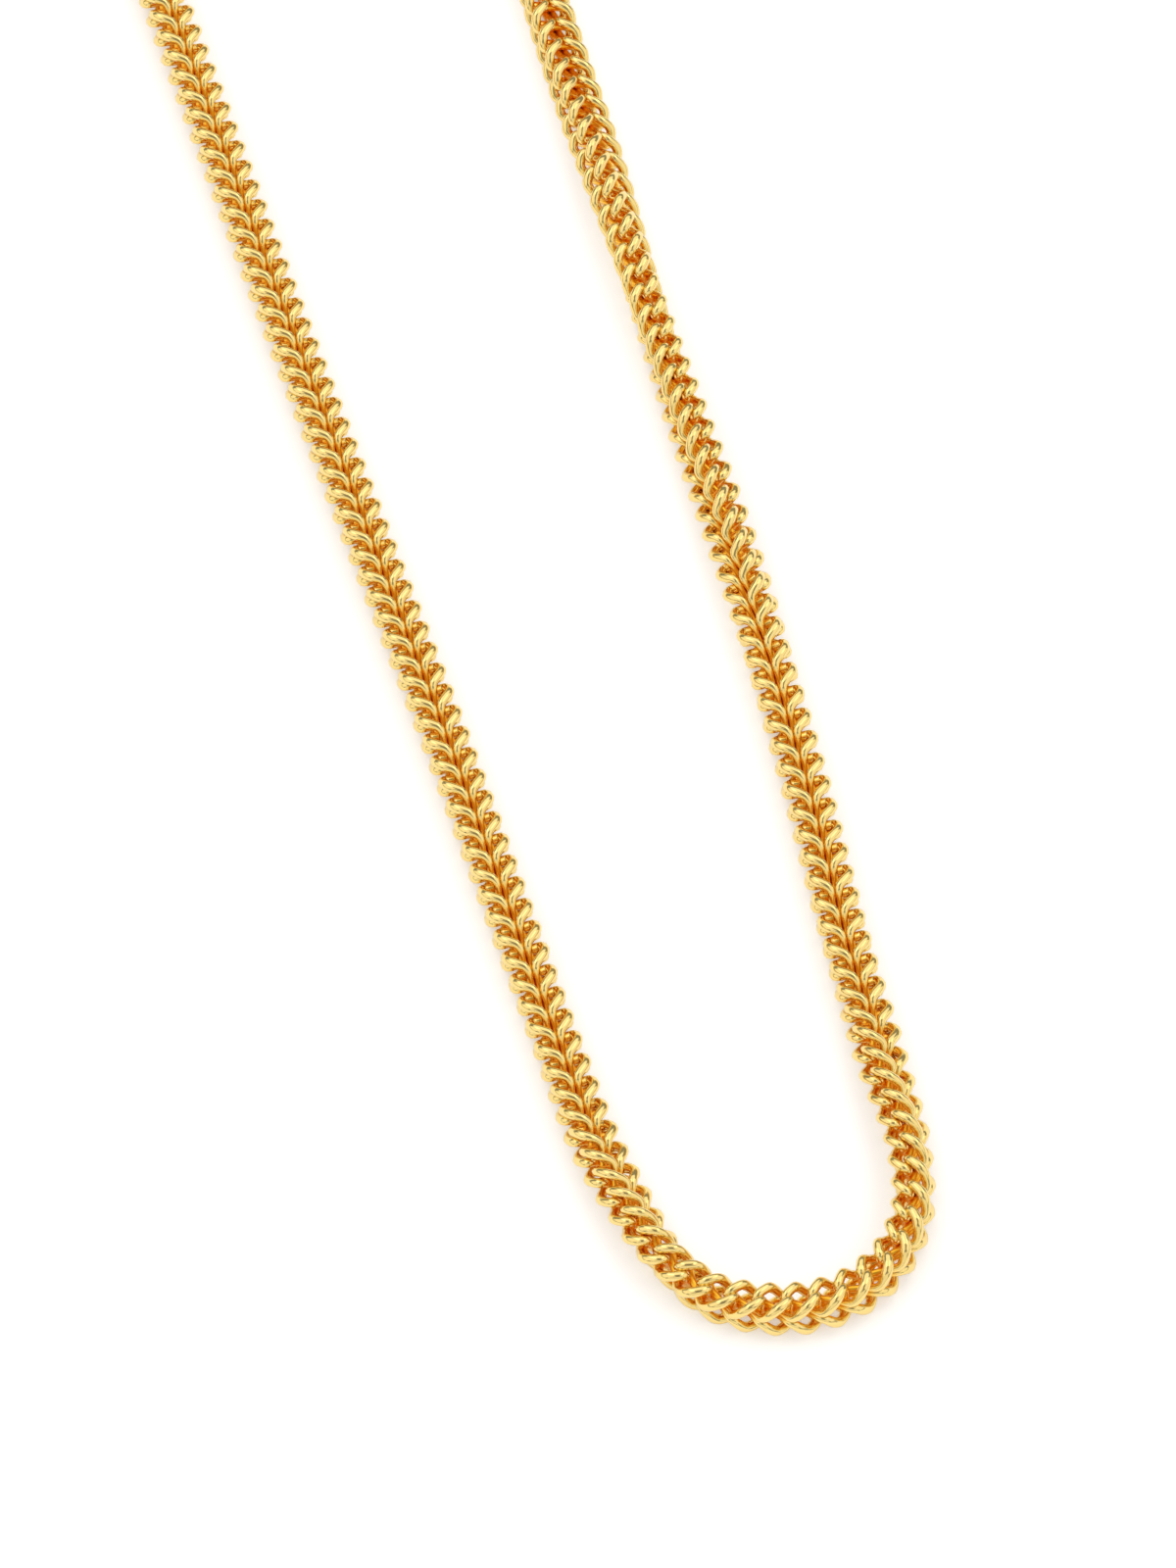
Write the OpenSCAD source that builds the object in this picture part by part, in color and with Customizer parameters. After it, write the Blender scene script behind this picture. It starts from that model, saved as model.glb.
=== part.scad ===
// Foxtail neck chain, laid on a flat surface as one closed loop with a barrel clasp.
// Units are millimetres. Z is up, the bend faces the viewer at -Y, the clasp is at +Y.
// The origin is on the surface, under the centre of the whole loop's box.
// The links themselves are too many for faceted solids, so the chain is a tube here
// that follows the links' centre line and is as wide as they are.

/* [Chain] */

// width of the chain across its flat sides
chain_w = 4.4; // [4:0.1:4.6]

// rings of the tube in each stretch between two route points
ring_steps = 2; // [1:1:3]

/* [Clasp] */

// length of the closed barrel clasp with its two end cups
clasp_l = 22; // [20:1:24]

// outer width of the end cups
cup_w = 6; // [5.8:0.1:6.4]

// depth of each cup's socket for the chain
cup_depth = 5; // [4:0.5:6]

// wall of the end cups
cup_wall = 0.5; // [0.5:0.1:0.6]

// width of the barrel between the cups
barrel_w = 5; // [4:0.2:5.4]

// gap between the end of the chain and the bottom of its cup
end_gap = 0.3; // [0.2:0.1:0.6]

/* [Hidden] */

// the clasp lies along X at the far end of the loop
clasp_x = -16;
clasp_y = 108.5;

chain_z = chain_w / 2;
clasp_z = cup_w / 2;
end_x = clasp_l / 2 - cup_depth + end_gap;

// Route of the chain seen from above, from the clasp's left cup down the left strand,
// round the bend and up the right strand to the clasp's right cup.
// The bend and both strands up to y = 16 follow the picture, the rest is the plain way round.
strand_left = [
    [-35, 104], [-40, 96], [-42, 84], [-37.5, 61], [-31.5, 45], [-20, 12],
    [-10, -17.5], [-2.5, -39], [4, -57.5], [9.5, -74], [13.5, -86]
];
bend = [
    [17, -96], [19, -100], [22.5, -105.5], [26, -108.5], [29.5, -109.5], [33.5, -109.5],
    [37.5, -108], [40.5, -105], [42, -101.5], [42, -96], [40, -88]
];
strand_right = [
    [37, -75.5], [34, -61.5], [29.5, -43.5], [24, -25], [17.5, -2], [13, 14],
    [9, 30], [7, 46], [7.5, 62], [9.5, 78], [9.5, 90], [7, 99], [2, 105]
];

// the chain leaves the surface a little to reach the middle of each cup
lift = clasp_z - chain_z;
left_end = [
    [clasp_x - end_x, clasp_y, clasp_z],
    [clasp_x - end_x - 6, clasp_y, clasp_z - 0.3 * lift]
];
right_end = [
    [clasp_x + end_x + 6, clasp_y, clasp_z - 0.3 * lift],
    [clasp_x + end_x, clasp_y, clasp_z]
];
flat_route = [for (p = concat(strand_left, bend, strand_right)) [p[0], p[1], chain_z]];
route = concat(left_end, flat_route, right_end);
last = len(route) - 1;

// direction of the route at point i, weighted by the lengths of the stretches beside it
function heading(i) =
    let (a = max(i - 1, 0), b = min(i + 1, last))
    let (before = norm(route[i] - route[a]), after = norm(route[b] - route[i]))
    i == 0 ? (route[1] - route[0]) / after :
    i == last ? (route[last] - route[last - 1]) / before :
    ((route[b] - route[i]) * before / after + (route[i] - route[a]) * after / before)
        / (before + after);

// point and direction a part u of the way from route point i to the next
function route_at(i, u) =
    let (d = norm(route[i + 1] - route[i]), m = heading(i) * d, n = heading(i + 1) * d)
    route[i] * (2 * u * u * u - 3 * u * u + 1) + m * (u * u * u - 2 * u * u + u)
        + route[i + 1] * (3 * u * u - 2 * u * u * u) + n * (u * u * u - u * u);

function route_dir(i, u) =
    let (d = norm(route[i + 1] - route[i]), m = heading(i) * d, n = heading(i + 1) * d)
    (route[i + 1] - route[i]) * (6 * u - 6 * u * u) + m * (3 * u * u - 4 * u + 1)
        + n * (3 * u * u - 2 * u);

sides = 12;
corner_r = chain_w / 2 / cos(180 / sides);

// the ends are a little narrower, so that they stay clear of the cups
end_r = corner_r - 0.2;
end_rings = 3;

// one ring of the tube, flat underneath, square to the direction d
function ring(c, d, r) =
    let (t = d / norm(d), s = cross(t, [0, 0, 1]), w = s / norm(s), h = cross(w, t))
    [for (k = [0:sides - 1])
        let (a = (k + 0.5) * 360 / sides)
        c + r * (cos(a) * w + sin(a) * h)];

stations = concat(
    [for (i = [0:last - 1]) for (j = [0:ring_steps - 1]) [i, j / ring_steps]],
    [[last - 1, 1]]
);
ring_count = len(stations);
rings = [
    for (k = [0:ring_count - 1])
        let (s = stations[k], r = min(k, ring_count - 1 - k) < end_rings ? end_r : corner_r)
        ring(route_at(s[0], s[1]), route_dir(s[0], s[1]), r)
];

module chain() {
    pts = [for (r = rings) for (p = r) p];
    start_cap = [[for (k = [0:sides - 1]) k]];
    end_cap = [[for (k = [0:sides - 1]) ring_count * sides - 1 - k]];
    walls = [
        for (i = [0:ring_count - 2]) for (k = [0:sides - 1])
            let (a = i * sides + k, b = i * sides + (k + 1) % sides)
            [a, a + sides, b + sides, b]
    ];
    color([0.86, 0.68, 0.33])
        polyhedron(points = pts, faces = concat(start_cap, walls, end_cap), convexity = 8);
}

module clasp() {
    half = clasp_l / 2;
    cup_r = cup_w / 2;
    bar_r = barrel_w / 2;
    neck = half - cup_depth - 1.2;
    color([0.86, 0.68, 0.33])
        translate([clasp_x, clasp_y, clasp_z])
            rotate([0, 90, 0])
                rotate_extrude($fn = 48)
                    polygon([
                        [0, -half + cup_depth],
                        [cup_r - cup_wall, -half + cup_depth],
                        [cup_r - cup_wall, -half],
                        [cup_r - 0.2, -half],
                        [cup_r, -half + 0.2],
                        [cup_r, -neck - 0.6],
                        [cup_r - 0.8, -neck],
                        [bar_r, -neck],
                        [bar_r, -0.2],
                        [bar_r - 0.2, 0],
                        [bar_r, 0.2],
                        [bar_r, neck],
                        [cup_r - 0.8, neck],
                        [cup_r, neck + 0.6],
                        [cup_r, half - 0.2],
                        [cup_r - 0.2, half],
                        [cup_r - cup_wall, half],
                        [cup_r - cup_wall, half - cup_depth],
                        [0, half - cup_depth]
                    ]);
}

chain();
clasp();
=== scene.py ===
import math

import bpy
import numpy as np
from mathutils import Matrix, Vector


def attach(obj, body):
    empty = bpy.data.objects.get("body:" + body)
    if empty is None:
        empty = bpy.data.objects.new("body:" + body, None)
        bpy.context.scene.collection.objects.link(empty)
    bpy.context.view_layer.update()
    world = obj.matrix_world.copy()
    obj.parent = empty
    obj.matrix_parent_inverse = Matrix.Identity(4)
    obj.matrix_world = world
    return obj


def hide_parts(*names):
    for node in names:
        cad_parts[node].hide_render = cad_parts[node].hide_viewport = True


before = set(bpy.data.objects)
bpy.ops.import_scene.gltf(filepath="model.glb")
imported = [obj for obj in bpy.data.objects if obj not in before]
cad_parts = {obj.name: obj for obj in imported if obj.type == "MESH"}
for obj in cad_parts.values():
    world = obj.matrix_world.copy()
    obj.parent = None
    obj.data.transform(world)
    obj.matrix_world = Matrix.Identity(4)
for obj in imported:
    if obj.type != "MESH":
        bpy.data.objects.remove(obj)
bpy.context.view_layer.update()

MM = 0.001

# Sizes of the chain
CHAIN_W = 3.93 * MM        # width of the chain, across the links' flat sides
WIRE_D = 0.21              # thickness of the wire, in chain widths
WIRE_STEPS = 2             # rings of the wire's mesh from one point of its path to the next
WIRE_BEVEL = 3             # gives the wire ten sides
PITCH = 2.155 * MM         # from link to link in the straight row, before it is laid
TUBE_Z = 2.2 * MM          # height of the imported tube's centre line
CLEARANCE = 0.05 * MM      # between the lowest wire and the surface

# Where the clasp holds the chain's two ends, mm
CLASP_MID = (-16.0, 108.5)
CLASP_Z = 3.0
CHAIN_END_X = 6.3          # from the clasp's middle to the chain's end in its cup
CUP_RUN = 6.0              # the stretch that leads out of each cup
CUP_DROP = 0.3             # share of the way down to the surface at the end of that stretch

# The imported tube's route, seen from above, mm
LEFT_STRAND = [
    (-35, 104), (-40, 96), (-42, 84), (-37.5, 61), (-31.5, 45), (-20, 12),
    (-10, -17.5), (-2.5, -39), (4, -57.5), (9.5, -74), (13.5, -86)]
BEND = [
    (17, -96), (19, -100), (22.5, -105.5), (26, -108.5), (29.5, -109.5), (33.5, -109.5),
    (37.5, -108), (40.5, -105), (42, -101.5), (42, -96), (40, -88)]
RIGHT_STRAND = [
    (37, -75.5), (34, -61.5), (29.5, -43.5), (24, -25), (17.5, -2), (13, 14),
    (9, 30), (7, 46), (7.5, 62), (9.5, 78), (9.5, 90), (7, 99), (2, 105)]

# A quarter of one link's wire, in chain widths: across the chain, out towards the chevron face,
# along the chain. It starts inside the chain, where the wire crosses over at the link's end,
# comes out at a round knob on the side, climbs the side to the corner, runs in along one arm of
# the chevron and dives at its tip, to lie beside its mirror image at the middle of the link.
WIRE_QUARTER = [
    (0.0, 0.065, 0.905), (0.125, 0.065, 0.905), (0.24, 0.045, 0.915), (0.345, 0.03, 0.925),
    (0.4, 0.095, 0.88), (0.405, 0.19, 0.785), (0.385, 0.265, 0.69), (0.31, 0.305, 0.6),
    (0.215, 0.315, 0.52), (0.125, 0.31, 0.44), (0.085, 0.275, 0.35), (0.083, 0.125, 0.2),
    (0.083, 0.0, 0.0)]
# How thick the wire is at each of those points, in wire thicknesses. It is squeezed thinner
# where the two halves lie side by side.
WIRE_SWELL = [1.0, 1.0, 1.02, 1.04, 1.06, 1.06, 1.06, 1.06, 1.03, 0.96, 0.84, 0.78, 0.78]

# Wire nearer than this to the chain's own centre line counts as recessed: there a painted shade,
# the deep orange of the gold's repeated reflections, deepens its colour over the next stretch
# inwards, and its polish dulls. Both are in chain widths.
RECESS_FROM = 0.32
RECESS_FADE = 0.1

# Turn of the chain about its own route: (mm along the route, degrees). At 0 the chevrons that
# point along the route lie on top; a growing angle turns the top over to the route's left.
TURN = [
    (0, 12), (147, 12), (158, 10), (171, 7), (194, 4), (208, 1), (213, 0), (217, 3),
    (221.5, 11), (226, 27), (230, 45), (234, 62), (238, 76), (242.5, 91), (247, 103),
    (251, 106), (258.5, 100), (263, 102), (267, 110), (271, 124), (275.5, 141), (280, 168),
    (284.5, 184), (289, 181), (295, 175), (302, 176), (307, 178), (312, 185), (316.5, 195),
    (321, 208), (326, 221), (330.5, 236), (335, 247), (340, 255), (350, 272), (355, 285),
    (360, 297), (365, 314), (370, 333), (375, 346), (380, 353), (390, 362), (488, 372)]
TURN_EASE = (-3, -1.5, 0, 1.5, 3)      # mm to each side over which a turn is averaged

# Distance from link to link, more where the bend pulls the links open: (mm along the route, mm)
SPACING = [
    (0, 2.155), (110, 2.18), (150, 2.135), (190, 2.13), (212, 2.135), (224, 2.11),
    (233, 2.075), (241, 2.21), (249, 2.335), (257, 2.265), (266, 2.125), (276, 2.14),
    (287, 2.105), (300, 2.17), (313, 2.17), (326, 2.14), (339, 2.15), (352, 2.17),
    (365, 2.1), (376, 2.145), (384, 2.16), (488, 2.155)]
FIRST_LINK = 5.08          # mm from the route's start to the first link's middle
SPARE_END = 4.0            # mm from the last link's middle to the route's end, at least
HEADING_REACH = 2.0 * MM   # length of route over which its direction is taken

# The pieces that the links are joined into, and the hundredths of all links where each ends
LINK_PIECES = [("links_left", 40), ("links_bend", 64), ("links_right", 100)]

# Colours and finish
PALE_GOLD = "#F0D386"
# painted shade and reflection: the deep orange of repeated reflections inside the links, painted
# into the colour
PAINTED_SHADE_GOLD = "#F9BA38"
PAPER_WHITE = "#F4F4F4"
POLISH = 0.15              # roughness of the polished outside
RECESS_POLISH = 0.3        # roughness where polishing doesn't reach
PAPER_GLOW = 0.3           # light that the backlit paper gives off

# Studio: name, place in metres, width, height, radiance
SOFTBOXES = [
    ("softbox_left", (-0.85, -0.15, 0.72), 1.5, 1.45, 0.85),
    ("softbox_right", (0.87, -0.15, 0.7), 1.5, 1.45, 0.8),
    ("softbox_back", (0.0, 0.55, 0.95), 1.7, 1.4, 0.92),
    ("softbox_front", (0.0, -1.05, 0.42), 1.6, 0.75, 0.7)]
SOFTBOX_AIM = (0.01, -0.02, 0.0)
ROOM_LIGHT = 0.3
FLOOR_SIZE = 6.0
LIGHT_BOUNCES = 16         # gold wires mirror each other many times

# View
CAMERA_RISE = 62.0         # degrees above the surface
CAMERA_FAR = 542.5 * MM
CAMERA_AIM = Vector((16 * MM, -62 * MM, 1.9 * MM))
LENS = 149.5               # mm, on a frame 27 mm wide and 36 mm high


def linear(hex_colour):
    """The linear colour that an sRGB hex value stands for."""
    channels = [int(hex_colour[i:i + 2], 16) / 255 for i in (1, 3, 5)]
    return [c / 12.92 if c <= 0.04045 else ((c + 0.055) / 1.055) ** 2.4 for c in channels] + [1]


def new_material(name):
    material = bpy.data.materials.new(name)
    material.use_nodes = True
    material.node_tree.nodes.clear()
    return material, material.node_tree


def add_node(tree, kind, settings=None, links=None):
    """Adds one shader node. Settings go to its inputs, by name or number, or else to the node
    itself, and links join its inputs to other nodes' outputs."""
    new = tree.nodes.new(kind)
    for name, value in (settings or {}).items():
        if isinstance(name, int) or name in new.inputs:
            new.inputs[name].default_value = value
        else:
            setattr(new, name, value)
    for name, output in (links or {}).items():
        tree.links.new(output, new.inputs[name])
    return new


def polished_gold_sheet():
    """Gold sheet, turned and polished: a pale straw yellow mirror with the faintest haze."""
    material, tree = new_material("polished_gold_sheet")
    gold = add_node(tree, "ShaderNodeBsdfPrincipled", {
        "Base Color": linear(PALE_GOLD), "Metallic": 1.0, "Roughness": POLISH})
    add_node(tree, "ShaderNodeOutputMaterial", links={"Surface": gold.outputs[0]})
    return material


def polished_gold_wire():
    """Gold wire, barrel polished: the same pale straw yellow on the outer faces, and in the
    links' recesses a painted shade and reflection, the deep orange that gold shows where it
    mirrors itself over and over, painted into the colour; there it is also a little duller,
    because the barrel's beads don't reach in there."""
    factor, first, second, result = 0, 6, 7, 2      # the colour sockets of a mix node
    material, tree = new_material("polished_yellow_gold")
    painted_shade_and_dullness = add_node(tree, "ShaderNodeAttribute", {"attribute_name": "painted_shade_and_dullness"})
    # painted shade: the pale gold mixed towards the painted deep orange in the recesses
    painted_shade_tone = add_node(tree, "ShaderNodeMix", {
        "data_type": "RGBA", first: linear(PALE_GOLD), second: linear(PAINTED_SHADE_GOLD)},
        {factor: painted_shade_and_dullness.outputs["Fac"]})
    polish = add_node(tree, "ShaderNodeMapRange", {
        "To Min": POLISH, "To Max": RECESS_POLISH}, {"Value": painted_shade_and_dullness.outputs["Fac"]})
    gold = add_node(tree, "ShaderNodeBsdfPrincipled", {
        "Base Color": linear(PALE_GOLD), "Metallic": 1.0, "Roughness": POLISH},
        {"Base Color": painted_shade_tone.outputs[result], "Roughness": polish.outputs[0]})
    add_node(tree, "ShaderNodeOutputMaterial", links={"Surface": gold.outputs[0]})
    return material


def matt_white_sweep():
    """White seamless paper, lit from behind so that only the shadows show on it."""
    material, tree = new_material("matt_white_sweep")
    paper = add_node(tree, "ShaderNodeBsdfPrincipled", {
        "Base Color": linear(PAPER_WHITE), "Roughness": 0.9, "Specular IOR Level": 0.2,
        "Emission Color": (1, 1, 1, 1), "Emission Strength": PAPER_GLOW})
    add_node(tree, "ShaderNodeOutputMaterial", links={"Surface": paper.outputs[0]})
    return material


def route_points():
    """The tube's route points, from the clasp's left cup round the loop to its right cup."""
    x, y = CLASP_MID
    tube_z = TUBE_Z / MM
    low = CLASP_Z - CUP_DROP * (CLASP_Z - tube_z)
    reach = CHAIN_END_X + CUP_RUN
    start = [(x - CHAIN_END_X, y, CLASP_Z), (x - reach, y, low)]
    flat = [(px, py, tube_z) for px, py in LEFT_STRAND + BEND + RIGHT_STRAND]
    end = [(x + reach, y, low), (x + CHAIN_END_X, y, CLASP_Z)]
    return np.array(start + flat + end) * MM


def headings(points):
    """Direction at each point, weighted by the stretches beside it, as the tube's is."""
    gaps = np.linalg.norm(np.diff(points, axis=0), axis=1)
    out = [(points[1] - points[0]) / gaps[0]]
    for i in range(1, len(points) - 1):
        before, after = gaps[i - 1], gaps[i]
        out.append(((points[i + 1] - points[i]) * before / after
                    + (points[i] - points[i - 1]) * after / before) / (before + after))
    out.append((points[-1] - points[-2]) / gaps[-1])
    return np.array(out)


def fine_route(steps=60):
    """Closely spaced points of the route with their distance along it."""
    points = route_points()
    heads = headings(points)
    rows = []
    for i in range(len(points) - 1):
        size = np.linalg.norm(points[i + 1] - points[i])
        for u in np.linspace(0, 1, steps, endpoint=False):
            rows.append(points[i] * (2 * u ** 3 - 3 * u ** 2 + 1)
                        + heads[i] * size * (u ** 3 - 2 * u ** 2 + u)
                        + points[i + 1] * (3 * u ** 2 - 2 * u ** 3)
                        + heads[i + 1] * size * (u ** 3 - u ** 2))
    rows.append(points[-1])
    rows = np.array(rows)
    along = np.concatenate([[0], np.cumsum(np.linalg.norm(np.diff(rows, axis=0), axis=1))])
    return rows, along


ROUTE, ALONG = fine_route()
LENGTH = ALONG[-1]


def route_at(distance):
    """Points of the route at distances along it."""
    return np.stack([np.interp(distance, ALONG, ROUTE[:, k]) for k in range(3)], 1)


def route_way(distance):
    """Directions of the route at distances along it."""
    way = route_at(distance + HEADING_REACH / 2) - route_at(distance - HEADING_REACH / 2)
    return way / np.linalg.norm(way, axis=1)[:, None]


def turn_at(distance):
    """Turn of the chain, in radians, eased over a few links."""
    rows = np.array(TURN, float)
    eased = sum(np.interp(distance / MM + shift, rows[:, 0], rows[:, 1])
                for shift in TURN_EASE) / len(TURN_EASE)
    return np.radians(eased)


def link_places():
    """Distances along the route of the links' middles, each stepped off from the one before
    by the spacing that holds between the two."""
    rows = np.array(SPACING, float)
    places = [FIRST_LINK]
    while True:
        here = places[-1]
        half_way = here + np.interp(here, rows[:, 0], rows[:, 1]) / 2
        following = here + np.interp(half_way, rows[:, 0], rows[:, 1])
        if following > LENGTH / MM - SPARE_END:
            return np.array(places) * MM
        places.append(following)


def wire_loop():
    """The whole loop of one link from its quarter, with the wire's thickness: the far half is
    the quarter turned over about the link's cross axis, and the left side mirrors the right."""
    quarter = np.array(WIRE_QUARTER)
    turned_over = quarter[::-1] * np.array([1, -1, -1])
    right = np.vstack([quarter, turned_over[1:]])
    left = right[::-1] * np.array([-1, 1, 1])
    swell = np.array(WIRE_SWELL + WIRE_SWELL[::-1][1:])
    return (np.vstack([right, left[1:-1]]) * CHAIN_W,
            np.concatenate([swell, swell[::-1][1:-1]]))


def wire_link():
    """One folded wire link, its length along X."""
    bpy.ops.object.select_all(action="DESELECT")
    bpy.ops.curve.primitive_bezier_circle_add(radius=CHAIN_W / 2)
    link = bpy.context.object
    link.name = "link"
    curve = link.data
    curve.dimensions = "3D"
    loop, swell = wire_loop()
    spline = curve.splines[0]
    spline.bezier_points.add(len(loop) - len(spline.bezier_points))
    for knot, (across, out, along), size in zip(spline.bezier_points, loop, swell):
        knot.co = (along, across, out)
        knot.radius = size
        knot.handle_left_type = knot.handle_right_type = "AUTO"
    curve.resolution_u = WIRE_STEPS
    curve.bevel_depth = WIRE_D / 2 * CHAIN_W
    curve.bevel_resolution = WIRE_BEVEL
    bpy.ops.object.convert(target="MESH")
    bpy.ops.object.mode_set(mode="EDIT")
    bpy.ops.mesh.select_all(action="SELECT")
    bpy.ops.mesh.remove_doubles(threshold=0.001 * MM)
    bpy.ops.mesh.normals_make_consistent(inside=False)
    bpy.ops.object.mode_set(mode="OBJECT")
    bpy.ops.object.shade_smooth()
    mark_painted_shade_and_dullness(link)
    return link


def mark_painted_shade_and_dullness(link):
    """Stores how deep inside the chain each point of the wire lies, from 0 outside to 1: the mask
    of the painted recess shade and of the duller polish.
    """
    spots = coordinates(link) / CHAIN_W
    from_middle = np.hypot(spots[:, 1], spots[:, 2])
    depth = np.clip((RECESS_FROM - from_middle) / RECESS_FADE, 0, 1)
    store = link.data.attributes.new("painted_shade_and_dullness", "FLOAT", "POINT")
    store.data.foreach_set("value", depth)


def coordinates(obj):
    flat = np.empty(len(obj.data.vertices) * 3)
    obj.data.vertices.foreach_get("co", flat)
    return flat.reshape(-1, 3)


def straight_row(link, name, count):
    """Copies of the link, joined into a straight row along X."""
    bpy.ops.object.select_all(action="DESELECT")
    row = link.copy()
    row.data = link.data.copy()
    row.name = row.data.name = name
    bpy.context.collection.objects.link(row)
    row.select_set(True)
    bpy.context.view_layer.objects.active = row
    array = row.modifiers.new("row", "ARRAY")
    array.count = count
    array.use_relative_offset = False
    array.use_constant_offset = True
    array.constant_offset_displace = (PITCH, 0, 0)
    bpy.ops.object.modifier_apply(modifier="row")
    return row


def rest_height(link, turn):
    """How high the middle of the chain lies above the surface at each turn."""
    spots = coordinates(link)
    angles = np.radians(np.arange(0, 361, 5))
    reach = [np.max(np.cos(a) * spots[:, 2] + abs(np.sin(a)) * np.abs(spots[:, 1]))
             for a in angles]
    return np.interp(np.mod(turn, 2 * math.pi), angles, reach) + CLEARANCE


def lay_along_route(row, link, places):
    """Moves a straight row's links to their places, following the route and its turn."""
    spots = coordinates(row)
    number = np.arange(len(spots)) // len(link.data.vertices)
    distance = places[number] + spots[:, 0] - number * PITCH
    middle, way, turn = route_at(distance), route_way(distance), turn_at(distance)
    left = np.cross((0.0, 0.0, 1.0), way)
    left /= np.linalg.norm(left, axis=1)[:, None]
    top = np.cross(way, left)
    out = -(np.cos(turn)[:, None] * top + np.sin(turn)[:, None] * left)
    across = np.cross(out, way)
    climb = (middle[:, 2] - TUBE_Z) / (CLASP_Z * MM - TUBE_Z)
    rest = rest_height(link, turn)
    middle[:, 2] = rest + climb * (CLASP_Z * MM - rest)
    laid = middle + across * spots[:, 1:2] + out * spots[:, 2:3]
    row.data.vertices.foreach_set("co", laid.ravel())
    row.data.update()


def chain_of_links():
    """All the links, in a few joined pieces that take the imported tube's place."""
    gold = polished_gold_wire()
    link = wire_link()
    places = link_places()
    start = 0
    for name, hundredths in LINK_PIECES:
        stop = len(places) * hundredths // 100
        piece = straight_row(link, name, stop - start)
        lay_along_route(piece, link, places[start:stop])
        piece.data.materials.clear()
        piece.data.materials.append(gold)
        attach(piece, "root")
        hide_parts("chain")
        start = stop
    bpy.data.objects.remove(link)


def clasp_finish():
    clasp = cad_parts["clasp"]
    clasp.data.materials.clear()
    clasp.data.materials.append(polished_gold_sheet())


def paper_floor():
    bpy.ops.object.select_all(action="DESELECT")
    bpy.ops.mesh.primitive_plane_add(size=FLOOR_SIZE, location=(0, 0, 0))
    floor = bpy.context.object
    floor.name = "floor"
    floor.data.materials.append(matt_white_sweep())


def softbox(name, place, width, height, radiance):
    """A lamp behind a large cloth, aimed at the chain, as bright per area as its radiance."""
    data = bpy.data.lights.new(name, "AREA")
    data.shape = "RECTANGLE"
    data.size, data.size_y = width, height
    data.energy = radiance * math.pi * width * height
    box = bpy.data.objects.new(name, data)
    box.location = place
    box.rotation_euler = (Vector(SOFTBOX_AIM) - Vector(place)).to_track_quat("-Z", "Y").to_euler()
    bpy.context.collection.objects.link(box)


def room():
    """A dim white room, and colours shown as they are."""
    world = bpy.data.worlds.new("studio")
    bpy.context.scene.world = world
    world.use_nodes = True
    background = world.node_tree.nodes["Background"]
    background.inputs["Color"].default_value = (1, 1, 1, 1)
    background.inputs["Strength"].default_value = ROOM_LIGHT
    bpy.context.scene.view_settings.view_transform = "Standard"
    bpy.context.scene.cycles.max_bounces = LIGHT_BOUNCES
    bpy.context.scene.cycles.glossy_bounces = LIGHT_BOUNCES


def view():
    """The camera, at the photograph's angle above the surface."""
    rise = math.radians(CAMERA_RISE)
    lens = bpy.data.cameras.new("camera")
    lens.sensor_fit = "VERTICAL"
    lens.sensor_height = 36
    lens.sensor_width = 27
    lens.lens = LENS
    lens.clip_start = 0.01
    camera = bpy.data.objects.new("camera", lens)
    camera.location = CAMERA_AIM + CAMERA_FAR * Vector((0, -math.cos(rise), math.sin(rise)))
    camera.rotation_euler = (CAMERA_AIM - camera.location).to_track_quat("-Z", "Y").to_euler()
    bpy.context.collection.objects.link(camera)
    bpy.context.scene.camera = camera


chain_of_links()
clasp_finish()
paper_floor()
for box in SOFTBOXES:
    softbox(*box)
room()
view()
